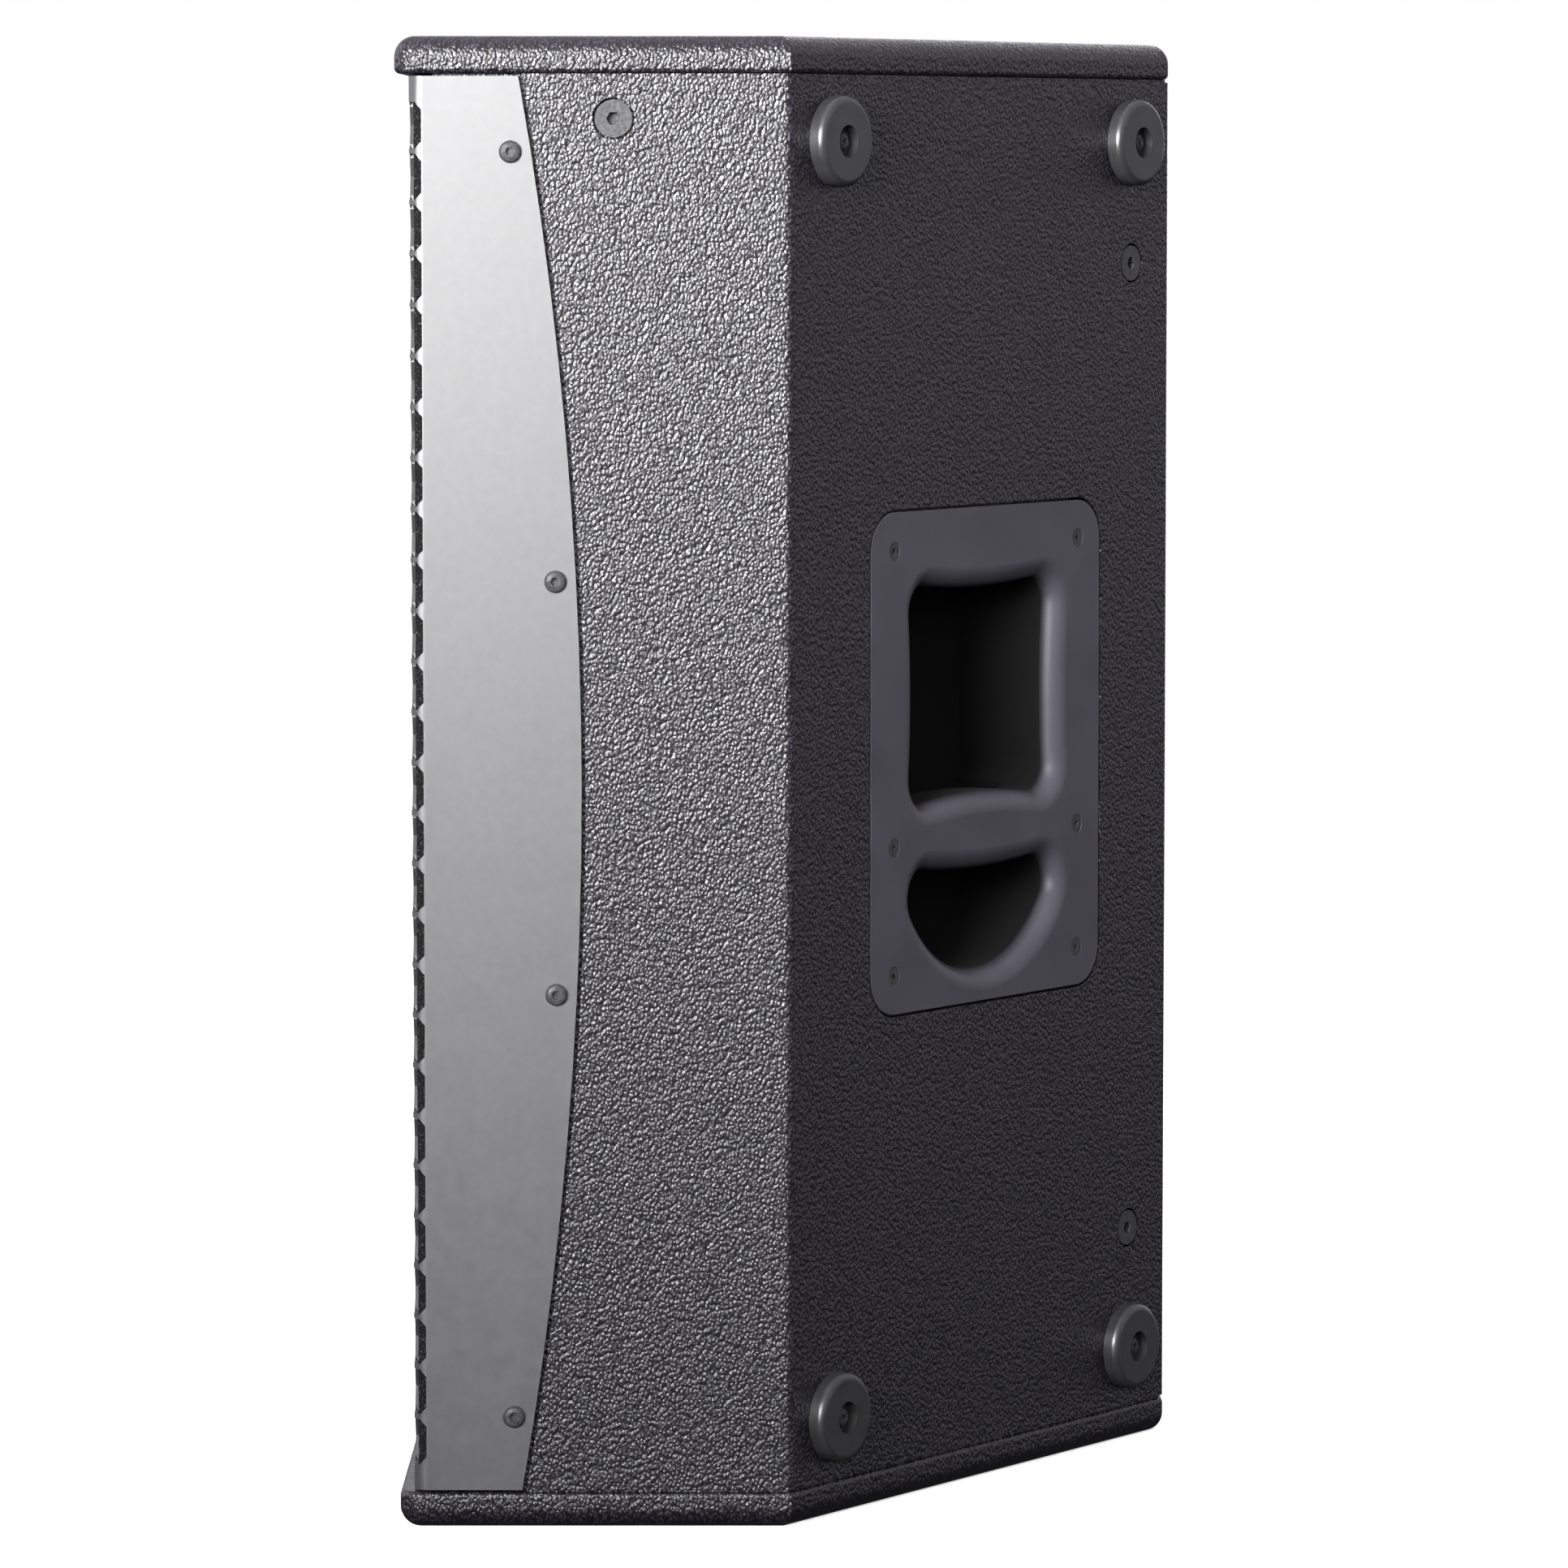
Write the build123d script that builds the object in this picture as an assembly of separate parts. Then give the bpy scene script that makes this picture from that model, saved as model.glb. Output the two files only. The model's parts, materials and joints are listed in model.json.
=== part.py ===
from build123d import *
import math
import os

# Two-way loudspeaker cabinet with one slanted side, so it also lies down as a stage wedge.
# Millimetres. +Z is up, -Y is the front, and the slanted side is on +X.
# The origin is under the middle of the bottom panel.

# Cabinet
HEIGHT = 640.0
WIDTH = 390.0
DEPTH = 341.0
PANEL = 15.0                # plywood of the upright panels
CAP = 16.0                  # plywood of the top and bottom panels
CAP_OVERHANG = 6.3          # caps reach this far in front of the grille
CAP_ROUND = 9.0             # outer bull-nose
CAP_INNER_ROUND = 2.5
CAP_CORNER = 9.3            # corners of the caps, seen from above
BEND_ROUND = 5.0            # upright edges of the body at both ends of the slanted side
CORNER_ROUND = 9.0          # upright rear edge of the body
GROOVE = 1.2                # shadow groove between body and caps
WEDGE_ANGLE = 55.0          # slant, measured from the straight side
SIDE_DEPTH = 162.4          # straight part of the +X side, from the grille front to the bend

HALF = WIDTH / 2
CAP_FRONT_Y = -DEPTH / 2
REAR_Y = DEPTH / 2
GRILLE_Y = CAP_FRONT_Y + CAP_OVERHANG
BEND_Y = GRILLE_Y + SIDE_DEPTH
SLANT_X = -math.sin(math.radians(WEDGE_ANGLE))
SLANT_Y = math.cos(math.radians(WEDGE_ANGLE))
WEDGE_LENGTH = (REAR_Y - BEND_Y) / SLANT_Y
WEDGE_END_X = HALF + SLANT_X * WEDGE_LENGTH
BODY_LOW = CAP
BODY_HIGH = HEIGHT - CAP
BODY_HEIGHT = BODY_HIGH - BODY_LOW
MID_Z = HEIGHT / 2

# Front
SHEET = 1.5                 # grille steel
GRILLE_BEND = 6.0
GRILLE_GAP = 1.0            # above and below the grille
FLANK_DEPTH = 72.9          # flank at mid-height, from the grille front
FLANK_ARC = 1763.0          # radius of the flank's rear edge
FLANK_CLEARANCE = 1.8       # gap behind that edge
FLANK_RECESS = 1.8          # how deep the body is routed for the flank
FLANK_GROOVE = 5.0          # depth of the dark gap behind that edge
HEX_PITCH = 21.7            # flat to flat, including one web
HEX_WEB = 2.0
HEX_ROWS = 27
HEX_RADIUS = (HEX_PITCH - HEX_WEB) / math.sqrt(3)
HEX_COLUMN = HEX_PITCH * math.sqrt(3) / 2
BEND_COLUMN = 10            # this column of openings wraps round the bend
BEND_SHOULDER = 6.0         # its full height ends this far past the start of the bend
BEND_END = 8.9              # and the opening itself this far
BEND_END_HALF = 6.8         # half height of its straight end
FRONT_HALF = (BEND_COLUMN - 1) * HEX_COLUMN + HEX_RADIUS + 0.6
FOAM = 8.0
FOAM_Y = GRILLE_Y + SHEET + 0.3
SIDE_FRONT_Y = FOAM_Y + FOAM + 0.3
BAFFLE = 18.0
BAFFLE_Y = -138.0

# Drivers and ports
WOOFER_Z = 202.0
HORN_Z = 492.0
PORT_X = 145.0
WOOFER_HOLE = 141.0
WOOFER_FLANGE = 155.0
WOOFER_SCREW_RING = 150.0
COIL_RADIUS = 25.3
HORN_WIDTH = 196.0
HORN_HEIGHT = 160.0
HORN_LENGTH = 110.0
HORN_BORDER = 12.0
THROAT = 12.7
PORT_BORE = 30.0
PORT_WALL = 3.0
PORT_LENGTH = 110.0

# Fasteners
GRILLE_SCREW_INSET = 8.75   # from the flank's rear edge
GRILLE_SCREW_RISES = (-271.0, -88.5, 88.5, 271.0)
WOOD_HEAD = 4.0             # small countersunk screws
WOOD_SHANK = 1.75
WOOD_LENGTH = 12.0
RIG_HEAD = 8.0
RIG_SHANK = 3.95
RIG_SEAT = 9.0
RIG_SIDE_DEPTH = 87.0
RIG_SIDE_Z = 605.0
RIG_WEDGE_U = 270.0
RIG_WEDGE_RISES = (99.0, 541.0)

# Feet and handle, placed along the slanted face from the bend
FOOT_RADIUS = 19.5
FOOT_HEIGHT = 7.0
FOOT_PLACES = ((33.0, 44.5), (33.0, 595.5), (269.0, 44.5), (269.0, 595.5))
HANDLE_U = 152.0
HANDLE_Z = 325.25
HANDLE_WIDTH = 183.0
HANDLE_HEIGHT = 219.5
HANDLE_CORNER = 18.0
HANDLE_PLATE = 4.0
HANDLE_SEAL = 1.0
HANDLE_GAP = 1.3
HANDLE_DEPTH = 52.0
HANDLE_WALL = 3.0
BAR_DEPTH = 26.0
HANDLE_LIP = 9.0
HANDLE_ROUND = 12.0         # inner corners of the grip openings
GRIP_HALF = 58.0            # upper opening, half width
GRIP_LOW = 303.0
GRIP_HIGH = 403.0
GRIP_BOW = (5.0, 3.0, 4.0)  # how far its bottom, sides and top bow inwards
POCKET_HALF = 65.0          # lower opening, half width
POCKET_LOW = 229.0
POCKET_HIGH = 279.0
POCKET_BOW = 5.0
PASSAGE_WIDTH = 104.0
PASSAGE_HEIGHT = 70.0
PASSAGE_Z = 292.0
HANDLE_SCREW_U = 73.5
HANDLE_SCREW_RISES = (232.3, 288.6, 418.0)

# Rear connector plate and pole cup
PLATE_X = -120.0
PLATE_Z = 130.0
PLATE_WIDTH = 100.0
PLATE_HEIGHT = 124.0
PLATE_SHEET = 3.0
PLATE_SUNK = 3.0            # plate below the rear face, so the sockets stay inside the outline
SOCKET_RISE = 27.0
SOCKET_BORE = 13.0
POLE_X = -20.0
POLE_Y = 10.0
POLE_BORE = 18.0
POLE_DEPTH = 78.0
POLE_WALL = 4.0
POLE_FLANGE = 36.0
POLE_RIM = 3.2
POLE_SCREW_RING = 30.5
BRACE_X = -145.0            # window brace
BRACE_Z = 392.0
BRACE_WIDTH = 70.0
BRACE_SHEET = 12.0
BRACE_WINDOW = 34.0
BRACE_ENDS = 90.0           # solid length left at both ends together
BRACKET_BORE = 5.0          # threaded inserts for a yoke, top and bottom
BRACKET_X = -60.0
BRACKET_Y = -40.0

CLEAR = 0.1                 # radial clearance round a screw

# Local frames: x along the face, y up, z out of the face
SIDE = Plane(origin=(HALF, GRILLE_Y, 0), x_dir=(0, 1, 0), z_dir=(1, 0, 0))
WEDGE = Plane(origin=(HALF, BEND_Y, 0), x_dir=(SLANT_X, SLANT_Y, 0), z_dir=(SLANT_Y, -SLANT_X, 0))
BACK = Plane(origin=(PLATE_X, REAR_Y - PLATE_SUNK, PLATE_Z), x_dir=(-1, 0, 0), z_dir=(0, 1, 0))
POLE = Plane(origin=(POLE_X, POLE_Y, 0.4), x_dir=(1, 0, 0), z_dir=(0, 0, -1))
FRONT = Plane(origin=(0, BAFFLE_Y, 0), x_dir=(1, 0, 0), z_dir=(0, -1, 0))
WOOFER = FRONT * Pos(0, WOOFER_Z, 0)
HORN = FRONT * Pos(0, HORN_Z, 0)


# ---- small helpers ----

def outline(points, radii):
    return make_face(FilletPolyline(*points, radius=radii, close=True))


def slab(sketch, low, high):
    return extrude(Pos(0, 0, low) * sketch, high - low)


def turned(points):
    """Solid of revolution about local Z from (radius, height) points."""
    return revolve(Plane.XZ * make_face(Polyline(*points, close=True)), axis=Axis.Z)


def ring(outer, inner, low, high):
    return slab(Circle(outer) - Circle(inner), low, high)


def disc(radius, low, high):
    return slab(Circle(radius), low, high)


def group(solids):
    return Compound(children=list(solids))


def in_frame(frame, shapes):
    return group(frame * shape for shape in shapes)


def circle_places(radius, count, start=0.0):
    turns = [math.radians(start + 360.0 * i / count) for i in range(count)]
    return [(radius * math.cos(t), radius * math.sin(t)) for t in turns]


def hex_socket(across, depth):
    return slab(RegularPolygon(across / math.sqrt(3), 6), -depth, 1.0)


def button_screw(head, rise, shank, length, socket):
    """Domed head standing on z = 0, shank below it."""
    dome = turned([(0, 0), (head, 0), (head, 0.35 * rise), (0.8 * head, 0.8 * rise),
                   (0.5 * head, rise), (0, rise)])
    return dome + disc(shank, -length, 0) - Pos(0, 0, rise) * hex_socket(socket, 0.8 * rise)


def flush_screw(head, shank, length, socket, sunk=0.3):
    """Countersunk screw whose flat head lies just under z = 0."""
    cone = head - shank
    body = turned([(0, -sunk), (head, -sunk), (head, -sunk - 0.4), (shank, -sunk - 0.4 - cone),
                   (shank, -length), (0, -length)])
    return body - Pos(0, 0, -sunk) * hex_socket(socket, 0.55 * head)


def wood_seat():
    """Cutter for one small countersunk screw."""
    top = WOOD_HEAD + 0.3
    low = WOOD_SHANK + CLEAR
    return turned([(0, 1), (top, 1), (top, -0.7), (low, -0.7 - top + low), (low, -6), (0, -6)])


# ---- cabinet ----

def plan_corners(front_y, inset=0.0):
    """Five plan corners, moved inwards by inset on every face but the front."""
    bend_shift = inset * math.tan(math.radians(WEDGE_ANGLE / 2))
    rear_shift = inset * math.tan(math.radians((90 - WEDGE_ANGLE) / 2))
    return [(-HALF + inset, front_y), (HALF - inset, front_y), (HALF - inset, BEND_Y - bend_shift),
            (WEDGE_END_X - rear_shift, REAR_Y - inset), (-HALF + inset, REAR_Y - inset)]


def body_ring():
    outer = outline(plan_corners(SIDE_FRONT_Y), [0.01, 0.01, BEND_ROUND, BEND_ROUND, CORNER_ROUND])
    inner = make_face(Polyline(*plan_corners(SIDE_FRONT_Y - 1, PANEL), close=True))
    waist_rounds = [0.01, 0.01, BEND_ROUND - GROOVE, BEND_ROUND - GROOVE, CORNER_ROUND - GROOVE]
    waist = outline(plan_corners(SIDE_FRONT_Y - 1, GROOVE), waist_rounds)
    walls = slab(outer - inner, BODY_LOW, BODY_HIGH)
    for low in (BODY_LOW, BODY_HIGH - GROOVE):
        walls -= slab(outer - waist, low, low + GROOVE)
    return walls


def cap_slab():
    """Cap lying on z = 0, its large bull-nose at the bottom, mitred crisply at the bend."""
    board = slab(RectangleRounded(WIDTH, DEPTH, CAP_CORNER), 0, CAP)
    board = fillet(board.edges().group_by(Axis.Z)[0], CAP_ROUND)
    board = fillet(board.edges().group_by(Axis.Z)[-1], CAP_INNER_ROUND)
    across = Plane(origin=(HALF, BEND_Y, 0), x_dir=(SLANT_Y, -SLANT_X, 0), z_dir=(-SLANT_X, -SLANT_Y, 0))
    nose = outline([(-2 * WIDTH, 0), (0, 0), (0, CAP), (-2 * WIDTH, CAP)],
                   [0.01, CAP_ROUND, CAP_INNER_ROUND, 0.01])
    return board & across * slab(nose, -2 * WIDTH, 2 * WIDTH)


def panel_regions():
    """Plan regions that split the body ring at its mitres."""
    far = 400.0
    outer = plan_corners(SIDE_FRONT_Y)
    inner = plan_corners(SIDE_FRONT_Y, PANEL)
    bend_out, bend_in = outer[2], inner[2]
    end_out, end_in = outer[3], inner[3]
    bend_far = (2 * bend_out[0] - bend_in[0], 2 * bend_out[1] - bend_in[1])
    end_far = (2 * end_out[0] - end_in[0], 2 * end_out[1] - end_in[1])
    right = [bend_in, bend_far, (far, bend_far[1]), (far, -far), (HALF - PANEL - 1, -far)]
    wedge = [bend_in, bend_far, (far, bend_far[1]), (far, far), (end_far[0], far), end_far, end_in]
    back = [end_in, end_far, (end_far[0], far), (-HALF + PANEL, far), (-HALF + PANEL, end_in[1] - 1)]
    left = [(-far, -far), (-HALF + PANEL, -far), (-HALF + PANEL, far), (-far, far)]
    return {"side_panel_right": right, "wedge_panel": wedge, "back_panel": back, "side_panel_left": left}


def flank_sketch(grow=0.0):
    """Side view of the grille flank: x behind the grille front, y up."""
    low = BODY_LOW + GRILLE_GAP - grow
    high = BODY_HIGH - GRILLE_GAP + grow
    edge = flank_edge(high) + grow
    arc = ThreePointArc((edge, high), (FLANK_DEPTH + grow, MID_Z), (edge, low))
    return make_face([Line((-20, low), (-20, high)), Line((-20, high), (edge, high)), arc,
                      Line((edge, low), (-20, low))])


def flank_edge(height):
    rise = height - MID_Z
    return FLANK_DEPTH - FLANK_ARC + math.sqrt(FLANK_ARC ** 2 - rise ** 2)


def grille_screw_places():
    return [(flank_edge(MID_Z + rise) - GRILLE_SCREW_INSET, MID_Z + rise) for rise in GRILLE_SCREW_RISES]


def handle_upper(grow=0.0):
    """Upper grip opening, waisted on all four sides."""
    left, right = HANDLE_U - GRIP_HALF - grow, HANDLE_U + GRIP_HALF + grow
    low, high = GRIP_LOW - grow, GRIP_HIGH + grow
    mid = (low + high) / 2
    bottom_bow, side_bow, top_bow = GRIP_BOW
    face = make_face([ThreePointArc((left, low), (HANDLE_U, low + bottom_bow), (right, low)),
                      ThreePointArc((right, low), (right - side_bow, mid), (right, high)),
                      ThreePointArc((right, high), (HANDLE_U, high - top_bow), (left, high)),
                      ThreePointArc((left, high), (left + side_bow, mid), (left, low))])
    return fillet(face.vertices(), HANDLE_ROUND)


def handle_lower(grow=0.0):
    """Lower grip opening: a half-round pocket under the bar."""
    left, right = HANDLE_U - POCKET_HALF - grow, HANDLE_U + POCKET_HALF + grow
    low, high = POCKET_LOW - grow, POCKET_HIGH + grow
    face = make_face([ThreePointArc((left, high), (HANDLE_U, high - POCKET_BOW), (right, high)),
                      ThreePointArc((right, high), (HANDLE_U, low), (left, high))])
    return fillet(face.vertices(), HANDLE_ROUND)


def handle_passage(grow=0.0):
    """Room behind the bar for the fingers."""
    sketch = RectangleRounded(PASSAGE_WIDTH + 2 * grow, PASSAGE_HEIGHT + 2 * grow, HANDLE_ROUND)
    return Pos(HANDLE_U, PASSAGE_Z) * sketch


def handle_footprint(grow):
    return handle_upper(grow) + handle_lower(grow) + handle_passage(grow)


def handle_plan(grow=0.0):
    sketch = RectangleRounded(HANDLE_WIDTH + 2 * grow, HANDLE_HEIGHT + 2 * grow, HANDLE_CORNER + grow)
    return Pos(HANDLE_U, HANDLE_Z) * sketch


def handle_screw_places():
    return [(HANDLE_U + side * HANDLE_SCREW_U, rise) for side in (-1, 1) for rise in HANDLE_SCREW_RISES]


def rig_cutter():
    """Seat and bore for one rigging point, drilled into z = 0."""
    return disc(RIG_SEAT, -5.0, 1.0) + disc(6.6, -PANEL - 1, 0)


def rig_places_right():
    return [SIDE * Pos(RIG_SIDE_DEPTH, RIG_SIDE_Z, 0)]


def rig_places_wedge():
    return [WEDGE * Pos(RIG_WEDGE_U, rise, 0) for rise in RIG_WEDGE_RISES]


def upright_panels():
    walls = body_ring()
    panels = {name: walls & slab(make_face(Polyline(*points, close=True)), 0, HEIGHT)
              for name, points in panel_regions().items()}
    recess = SIDE * slab(flank_sketch(FLANK_CLEARANCE), -FLANK_RECESS, 2)
    groove = SIDE * slab(flank_sketch(FLANK_CLEARANCE), -FLANK_GROOVE, 2)
    groove -= SIDE * slab(flank_sketch(), -FLANK_GROOVE, 2)
    bores = [SIDE * Pos(x, y, 0) * disc(2.5 + CLEAR, -PANEL + 2, 1) for x, y in grille_screw_places()]
    rigging = [place * rig_cutter() for place in rig_places_right()]
    right_cuts = [recess, groove] + bores + rigging
    panels["side_panel_right"] -= right_cuts
    panels["side_panel_left"] -= [mirror(cut, about=Plane.YZ) for cut in right_cuts]
    wedge_cuts = [place * rig_cutter() for place in rig_places_wedge()]
    wedge_cuts.append(WEDGE * slab(handle_plan(HANDLE_GAP), -HANDLE_PLATE - HANDLE_SEAL, 1))
    wedge_cuts.append(WEDGE * slab(handle_footprint(HANDLE_WALL + 1), -PANEL - 1, 1))
    wedge_cuts += [WEDGE * Pos(u, z, 0) * disc(WOOD_SHANK + CLEAR, -13, 0) for u, z in handle_screw_places()]
    wedge_cuts += [WEDGE * Pos(u, z, 0) * disc(2.0 + CLEAR, -13, 1) for u, z in FOOT_PLACES]
    panels["wedge_panel"] -= wedge_cuts
    plate_hole = RectangleRounded(PLATE_WIDTH - 18, PLATE_HEIGHT - 18, 5)
    plate_seat = RectangleRounded(PLATE_WIDTH + 1, PLATE_HEIGHT + 1, 6)
    panels["back_panel"] -= [BACK * slab(plate_hole, -PANEL, 4), BACK * slab(plate_seat, -PLATE_SHEET, 4)]
    screw_bore = disc(WOOD_SHANK + CLEAR, -PANEL, 0)
    panels["back_panel"] -= [BACK * Pos(x, y, 0) * screw_bore for x, y in plate_screw_places()]
    return panels


def bottom_panel():
    panel = cap_slab()
    panel -= POLE * disc(POLE_BORE + POLE_WALL + 0.2, -CAP - 1, 2)
    panel -= POLE * disc(POLE_FLANGE + 0.4, -POLE_RIM, 2)
    panel -= [POLE * Pos(x, y, 0) * disc(WOOD_SHANK + CLEAR, -14, 0) for x, y in pole_screw_places()]
    return panel - Pos(BRACKET_X, BRACKET_Y, 0) * disc(7, -1, CAP + 1)


def top_panel():
    panel = Pos(0, 0, HEIGHT) * mirror(cap_slab(), about=Plane.XY)
    return panel - Pos(BRACKET_X, BRACKET_Y, HEIGHT) * disc(7, -CAP - 1, 1)


def baffle():
    inside = HALF - PANEL
    board = Pos(0, BAFFLE_Y + BAFFLE / 2, MID_Z) * Box(2 * inside, BAFFLE, BODY_HEIGHT)
    cuts = [WOOFER * disc(WOOFER_HOLE, -BAFFLE - 1, 1), WOOFER * disc(WOOFER_FLANGE + 0.5, -6, 1)]
    cuts.append(HORN * slab(RectangleRounded(HORN_WIDTH + 8, HORN_HEIGHT + 8, 12), -BAFFLE - 1, 1))
    rim = RectangleRounded(HORN_WIDTH + 2 * HORN_BORDER + 1, HORN_HEIGHT + 2 * HORN_BORDER + 1, 6.5)
    cuts.append(HORN * slab(rim, -4, 1))
    for side in (-1, 1):
        cuts.append(HORN * Pos(side * PORT_X, 0, 0) * disc(PORT_BORE + PORT_WALL + 0.1, -BAFFLE - 1, 1))
    woofer_bore = disc(2.5 + CLEAR, -17, 0)
    cuts += [WOOFER * Pos(x, y, 0) * woofer_bore for x, y in circle_places(WOOFER_SCREW_RING, 8, 22.5)]
    horn_bore = disc(WOOD_SHANK + CLEAR, -16, 1)
    cuts += [HORN * Pos(x, y, 0) * horn_bore for x, y in horn_screw_places()]
    return board - cuts


def brace():
    """Window brace between the baffle and the rear panels, under the horn."""
    low_y, high_y = BAFFLE_Y + BAFFLE, REAR_Y - PANEL
    run = high_y - low_y
    frame = Box(BRACE_WIDTH, run, BRACE_SHEET) - Box(BRACE_WINDOW, run - BRACE_ENDS, BRACE_SHEET + 2)
    return Pos(BRACE_X, (low_y + high_y) / 2, BRACE_Z) * frame


# ---- front grille ----

def column_rises(column):
    """Heights of the openings in one column; odd columns are staggered by half a pitch."""
    count = HEX_ROWS - column % 2
    return [MID_Z + (row - (count - 1) / 2) * HEX_PITCH for row in range(count)]


def hex_wire(x, z):
    turns = [math.radians(60 * k) for k in range(6)]
    corners = [Vector(x + HEX_RADIUS * math.cos(t), z + HEX_RADIUS * math.sin(t), 0) for t in turns]
    return Wire.make_polygon(corners, close=True)


def front_border():
    """Outline of the flat front, notched where the openings at the bends reach into it."""
    tip = BEND_COLUMN * HEX_COLUMN - HEX_RADIUS
    half = (FRONT_HALF - tip) * math.sqrt(3)
    right = [(FRONT_HALF, BODY_LOW + GRILLE_GAP)]
    for z in column_rises(BEND_COLUMN):
        right += [(FRONT_HALF, z - half), (tip, z), (FRONT_HALF, z + half)]
    right.append((FRONT_HALF, BODY_HIGH - GRILLE_GAP))
    return right + [(-x, z) for x, z in reversed(right)]


def grille_front():
    """Flat perforated front: every column but the two that wrap round the bends."""
    border = Wire.make_polygon([Vector(x, z, 0) for x, z in front_border()], close=True)
    holes = [hex_wire(column * HEX_COLUMN, z) for column in range(1 - BEND_COLUMN, BEND_COLUMN)
             for z in column_rises(abs(column))]
    frame = Plane(origin=(0, GRILLE_Y, 0), x_dir=(1, 0, 0), z_dir=(0, -1, 0))
    return frame * extrude(Face(border, holes), -SHEET, dir=(0, 0, 1))


def bend_offset(run):
    """Where a point of the flat sheet ends up, measured along the bend's 45 degree chord."""
    past = run - (HALF - GRILLE_BEND)
    if past <= 0:
        x, y = past, 0.0
    else:
        turn = min(past / GRILLE_BEND, math.pi / 2)
        x = GRILLE_BEND * math.sin(turn)
        y = GRILLE_BEND * (1 - math.cos(turn)) + max(0.0, past - GRILLE_BEND * math.pi / 2)
    return (x + y) / math.sqrt(2)


def bend_openings():
    """Openings of the column that wraps round the +X bend, cut along its diagonal."""
    chord = Plane(origin=(HALF - GRILLE_BEND, GRILLE_Y, 0), x_dir=(1, 1, 0), z_dir=(1, -1, 0))
    centre = BEND_COLUMN * HEX_COLUMN
    start = HALF - GRILLE_BEND
    half = HEX_RADIUS * math.sqrt(3) / 2
    upper = [(centre - HEX_RADIUS / 2, half), (start + BEND_SHOULDER, half),
             (start + BEND_END, BEND_END_HALF)]
    lower = [(run, -rise) for run, rise in reversed(upper)]
    corners = [(bend_offset(run), rise) for run, rise in [(centre - HEX_RADIUS, 0)] + upper + lower]
    cell = slab(make_face(Polyline(*corners, close=True)), -12, 8)
    return [chord * Pos(0, z, 0) * cell for z in column_rises(BEND_COLUMN)]


def front_grille():
    rear = GRILLE_Y + FLANK_DEPTH + 10
    outer = outline([(-HALF, rear), (-HALF, GRILLE_Y), (HALF, GRILLE_Y), (HALF, rear)],
                    [0.01, GRILLE_BEND, GRILLE_BEND, 0.01])
    inner = outline([(-HALF + SHEET, rear + 1), (-HALF + SHEET, GRILLE_Y + SHEET),
                     (HALF - SHEET, GRILLE_Y + SHEET), (HALF - SHEET, rear + 1)],
                    [0.01, GRILLE_BEND - SHEET, GRILLE_BEND - SHEET, 0.01])
    channel = slab(outer - inner, BODY_LOW + GRILLE_GAP, BODY_HIGH - GRILLE_GAP)
    channel &= SIDE * slab(flank_sketch(), -WIDTH - 1, 1)
    flank = channel & Pos(HALF, 0, MID_Z) * Box(2 * (HALF - FRONT_HALF), 2 * DEPTH, HEIGHT)
    flank -= [SIDE * Pos(x, y, 0) * disc(2.9, -SHEET - 1, 1) for x, y in grille_screw_places()]
    flank -= bend_openings()
    return grille_front() + flank + mirror(flank, about=Plane.YZ)


def grille_foam():
    half = HALF - SHEET - 0.4
    corners = [(-half, FOAM_Y), (half, FOAM_Y), (half, FOAM_Y + FOAM), (-half, FOAM_Y + FOAM)]
    return slab(outline(corners, [4.5, 4.5, 0.5, 0.5]), BODY_LOW + 2, BODY_HIGH - 2)


def grille_screws():
    screw = button_screw(4.8, 2.6, 2.5, 12, 3.5)
    right = [SIDE * Pos(x, y, 0) * screw for x, y in grille_screw_places()]
    return group(right + [mirror(s, about=Plane.YZ) for s in right])


# ---- rigging ----

def rig_places():
    return rig_places_right() + rig_places_wedge()


def rigging_screws():
    screw = flush_screw(RIG_HEAD, RIG_SHANK, 24, 5.3)
    solids = [place * screw for place in rig_places()]
    return group(solids + [mirror(solids[0], about=Plane.YZ)])


def rigging_inserts():
    sleeve = turned([(RIG_SHANK + CLEAR, -5.0), (6.5, -5.0), (6.5, -PANEL), (15, -PANEL), (15, -PANEL - 2),
                     (RIG_SHANK + CLEAR, -PANEL - 2)])
    solids = [place * sleeve for place in rig_places()]
    return group(solids + [mirror(solids[0], about=Plane.YZ)])


def bracket_insert():
    """Threaded bush for a yoke bracket, its mouth at z = 0."""
    return turned([(BRACKET_BORE, -0.5), (6.9, -0.5), (6.9, -CAP), (14, -CAP), (14, -CAP - 2),
                   (BRACKET_BORE, -CAP - 2)])


def bracket_inserts():
    top = Pos(BRACKET_X, BRACKET_Y, HEIGHT) * bracket_insert()
    bottom = Pos(BRACKET_X, BRACKET_Y, 0) * mirror(bracket_insert(), about=Plane.XY)
    return group([top, bottom])


# ---- feet and handle ----

def rubber_foot():
    pad = disc(FOOT_RADIUS, 0, FOOT_HEIGHT)
    pad = fillet(pad.edges().group_by(Axis.Z)[-1], 3.0)
    pad -= disc(7.0, 2.6, FOOT_HEIGHT + 1)
    return pad - disc(2.3, -1, FOOT_HEIGHT)


def foot_screw():
    return Pos(0, 0, 2.6) * button_screw(4.4, 2.4, 2.0, 15, 2.5)


def handle_shell():
    plate = slab(handle_plan(), -HANDLE_PLATE, 0)
    tub = slab(handle_footprint(HANDLE_WALL), -HANDLE_DEPTH - HANDLE_WALL, -HANDLE_PLATE / 2)
    shell = plate + tub
    shell -= [slab(handle_upper(), -HANDLE_DEPTH, 1), slab(handle_lower(), -HANDLE_DEPTH, 1)]
    shell -= slab(handle_passage(), -HANDLE_DEPTH, -BAR_DEPTH)
    lips = [e for e in shell.faces().sort_by(Axis.Z)[-1].inner_wires()]
    shell = fillet([edge for wire in lips for edge in wire.edges()], HANDLE_LIP)
    return shell - [Pos(u, z, 0) * wood_seat() for u, z in handle_screw_places()]


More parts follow.
